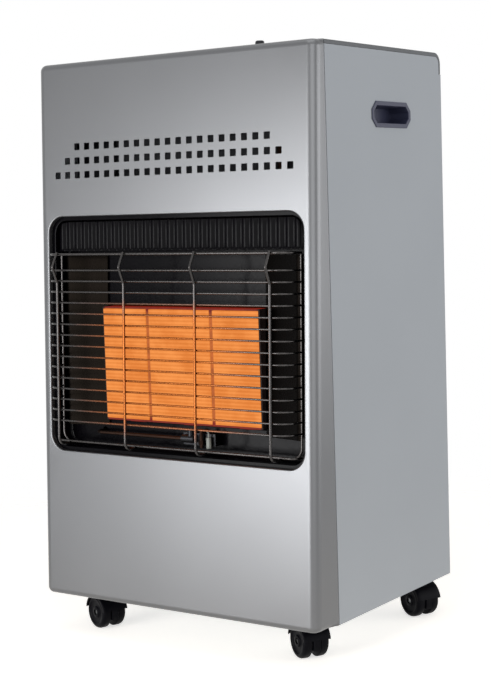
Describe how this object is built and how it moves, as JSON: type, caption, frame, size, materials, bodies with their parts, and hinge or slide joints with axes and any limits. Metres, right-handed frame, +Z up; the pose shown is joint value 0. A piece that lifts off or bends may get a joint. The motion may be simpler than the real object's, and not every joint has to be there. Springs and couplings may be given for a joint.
{
  "type": "portable gas cabinet heater",
  "caption": "Upright cabinet heater on swivel casters: leaning front with burner window, wire guard and vent holes, top controls, handle cups and a rear bay for a gas cylinder.",
  "frame": {"origin": "on the floor, under the middle of the heater's overall box", "axes": "+Z up; the front with the burner window faces -Y; +X towards the side with the control knob"},
  "size_m": [0.424, 0.3472, 0.743],
  "materials": {
    "front_paint": "satin silver metallic paint",
    "side_paint": "satin grey metallic paint",
    "lid_plastic": "satin dark grey paint",
    "handle_plastic": "moulded, fine grain",
    "black_plastic": "moulded, satin",
    "caster_plastic": "moulded nylon",
    "black_enamel": "glossy heat-proof enamel",
    "polished_steel": "polished, heat tinted",
    "plated_wire": "plated wire",
    "plaque_ceramic": "porous, glowing when lit",
    "aluminised_steel": "aluminised, dull",
    "cast_aluminium": "die cast",
    "galvanised": "galvanised",
    "plain_steel": "plain steel",
    "brass": "machined",
    "copper": "drawn copper",
    "porcelain": "glazed white"
  },
  "bodies": {
    "cabinet": {"front_panel": "front_paint", "side_panel_left": "side_paint", "side_panel_right": "side_paint", "handle_left": "handle_plastic", "handle_right": "handle_plastic", "top_lid": "lid_plastic", "base_tray": "galvanised", "burner_partition": "galvanised", "rear_top_rail": "galvanised", "cylinder_retainer": "galvanised", "burner_surround": "black_enamel", "burner_hood": "black_enamel", "reflector_left": "polished_steel", "reflector_right": "polished_steel", "wire_guard": "plated_wire", "control_panel": "black_plastic", "piezo_igniter": "black_plastic", "gas_valve": "cast_aluminium", "hose_tail": "brass", "feed_pipe": "copper", "pilot_pipe": "copper", "gas_rail": "plain_steel", "pilot_burner": "plain_steel", "thermocouple": "copper", "spark_electrode": "porcelain", "plaque_left": "plaque_ceramic", "burner_left": "aluminised_steel", "injector_left": "brass", "plaque_centre": "plaque_ceramic", "burner_centre": "aluminised_steel", "injector_centre": "brass", "plaque_right": "plaque_ceramic", "burner_right": "aluminised_steel", "injector_right": "brass", "caster_front_left_plate": "plain_steel", "caster_front_right_plate": "plain_steel", "caster_rear_right_plate": "plain_steel", "caster_rear_left_plate": "plain_steel"},
    "spindle": {"valve_spindle": "plain_steel"},
    "knob": {"control_knob": "black_plastic"},
    "igniter_button": {"igniter_button": "black_plastic"},
    "rear_cover": {"rear_cover": "side_paint"},
    "caster_front_left": {"caster_front_left_body": "caster_plastic", "caster_front_left_axle": "plain_steel"},
    "caster_front_left_wheel_a": {"caster_front_left_wheel_a": "caster_plastic"},
    "caster_front_left_wheel_b": {"caster_front_left_wheel_b": "caster_plastic"},
    "caster_front_right": {"caster_front_right_body": "caster_plastic", "caster_front_right_axle": "plain_steel"},
    "caster_front_right_wheel_a": {"caster_front_right_wheel_a": "caster_plastic"},
    "caster_front_right_wheel_b": {"caster_front_right_wheel_b": "caster_plastic"},
    "caster_rear_right": {"caster_rear_right_body": "caster_plastic", "caster_rear_right_axle": "plain_steel"},
    "caster_rear_right_wheel_a": {"caster_rear_right_wheel_a": "caster_plastic"},
    "caster_rear_right_wheel_b": {"caster_rear_right_wheel_b": "caster_plastic"},
    "caster_rear_left": {"caster_rear_left_body": "caster_plastic", "caster_rear_left_axle": "plain_steel"},
    "caster_rear_left_wheel_a": {"caster_rear_left_wheel_a": "caster_plastic"},
    "caster_rear_left_wheel_b": {"caster_rear_left_wheel_b": "caster_plastic"}
  },
  "joints": [
    {"name": "knob_turn", "type": "hinge", "parent": "cabinet", "child": "spindle", "pos_m": [0.088, -0.05937, 0.731], "axis": [0, 0, 1], "range_deg": [0, 150]},
    {"name": "knob_push", "type": "slide", "parent": "spindle", "child": "knob", "axis": [0, 0, -1], "range_m": [0, 0.004], "stiffness_N_per_m": 1500, "springref_m": -0.002},
    {"name": "igniter_press", "type": "slide", "parent": "cabinet", "child": "igniter_button", "axis": [0, 0, -1], "range_m": [0, 0.005], "stiffness_N_per_m": 1500, "springref_m": -0.003},
    {"name": "rear_cover_off", "type": "slide", "parent": "cabinet", "child": "rear_cover", "axis": [0, 1, 0], "range_m": [0, 0.15]},
    {"name": "caster_front_left_swivel", "type": "hinge", "parent": "cabinet", "child": "caster_front_left", "pos_m": [-0.168, -0.09837, 0.051], "axis": [0, 0, 1], "continuous": true},
    {"name": "caster_front_left_wheel_a_roll", "type": "hinge", "parent": "caster_front_left", "child": "caster_front_left_wheel_a", "pos_m": [-0.15296, -0.10384, 0.0215], "axis": [0.342, 0.9397, 0], "continuous": true},
    {"name": "caster_front_left_wheel_b_roll", "type": "hinge", "parent": "caster_front_left", "child": "caster_front_left_wheel_b", "pos_m": [-0.15296, -0.10384, 0.0215], "axis": [0.342, 0.9397, 0], "continuous": true},
    {"name": "caster_front_right_swivel", "type": "hinge", "parent": "cabinet", "child": "caster_front_right", "pos_m": [0.168, -0.09837, 0.051], "axis": [0, 0, 1], "continuous": true},
    {"name": "caster_front_right_wheel_a_roll", "type": "hinge", "parent": "caster_front_right", "child": "caster_front_right_wheel_a", "pos_m": [0.15443, -0.08989, 0.0215], "axis": [-0.5299, -0.848, 0], "continuous": true},
    {"name": "caster_front_right_wheel_b_roll", "type": "hinge", "parent": "caster_front_right", "child": "caster_front_right_wheel_b", "pos_m": [0.15443, -0.08989, 0.0215], "axis": [-0.5299, -0.848, 0], "continuous": true},
    {"name": "caster_rear_right_swivel", "type": "hinge", "parent": "cabinet", "child": "caster_rear_right", "pos_m": [0.168, 0.14363, 0.051], "axis": [0, 0, 1], "continuous": true},
    {"name": "caster_rear_right_wheel_a_roll", "type": "hinge", "parent": "caster_rear_right", "child": "caster_rear_right_wheel_a", "pos_m": [0.1825, 0.13687, 0.0215], "axis": [0.4226, 0.9063, 0], "continuous": true},
    {"name": "caster_rear_right_wheel_b_roll", "type": "hinge", "parent": "caster_rear_right", "child": "caster_rear_right_wheel_b", "pos_m": [0.1825, 0.13687, 0.0215], "axis": [0.4226, 0.9063, 0], "continuous": true},
    {"name": "caster_rear_left_swivel", "type": "hinge", "parent": "cabinet", "child": "caster_rear_left", "pos_m": [-0.168, 0.14363, 0.051], "axis": [0, 0, 1], "continuous": true},
    {"name": "caster_rear_left_wheel_a_roll", "type": "hinge", "parent": "caster_rear_left", "child": "caster_rear_left_wheel_a", "pos_m": [-0.1825, 0.13687, 0.0215], "axis": [0.4226, -0.9063, 0], "continuous": true},
    {"name": "caster_rear_left_wheel_b_roll", "type": "hinge", "parent": "caster_rear_left", "child": "caster_rear_left_wheel_b", "pos_m": [-0.1825, 0.13687, 0.0215], "axis": [0.4226, -0.9063, 0], "continuous": true}
  ]
}
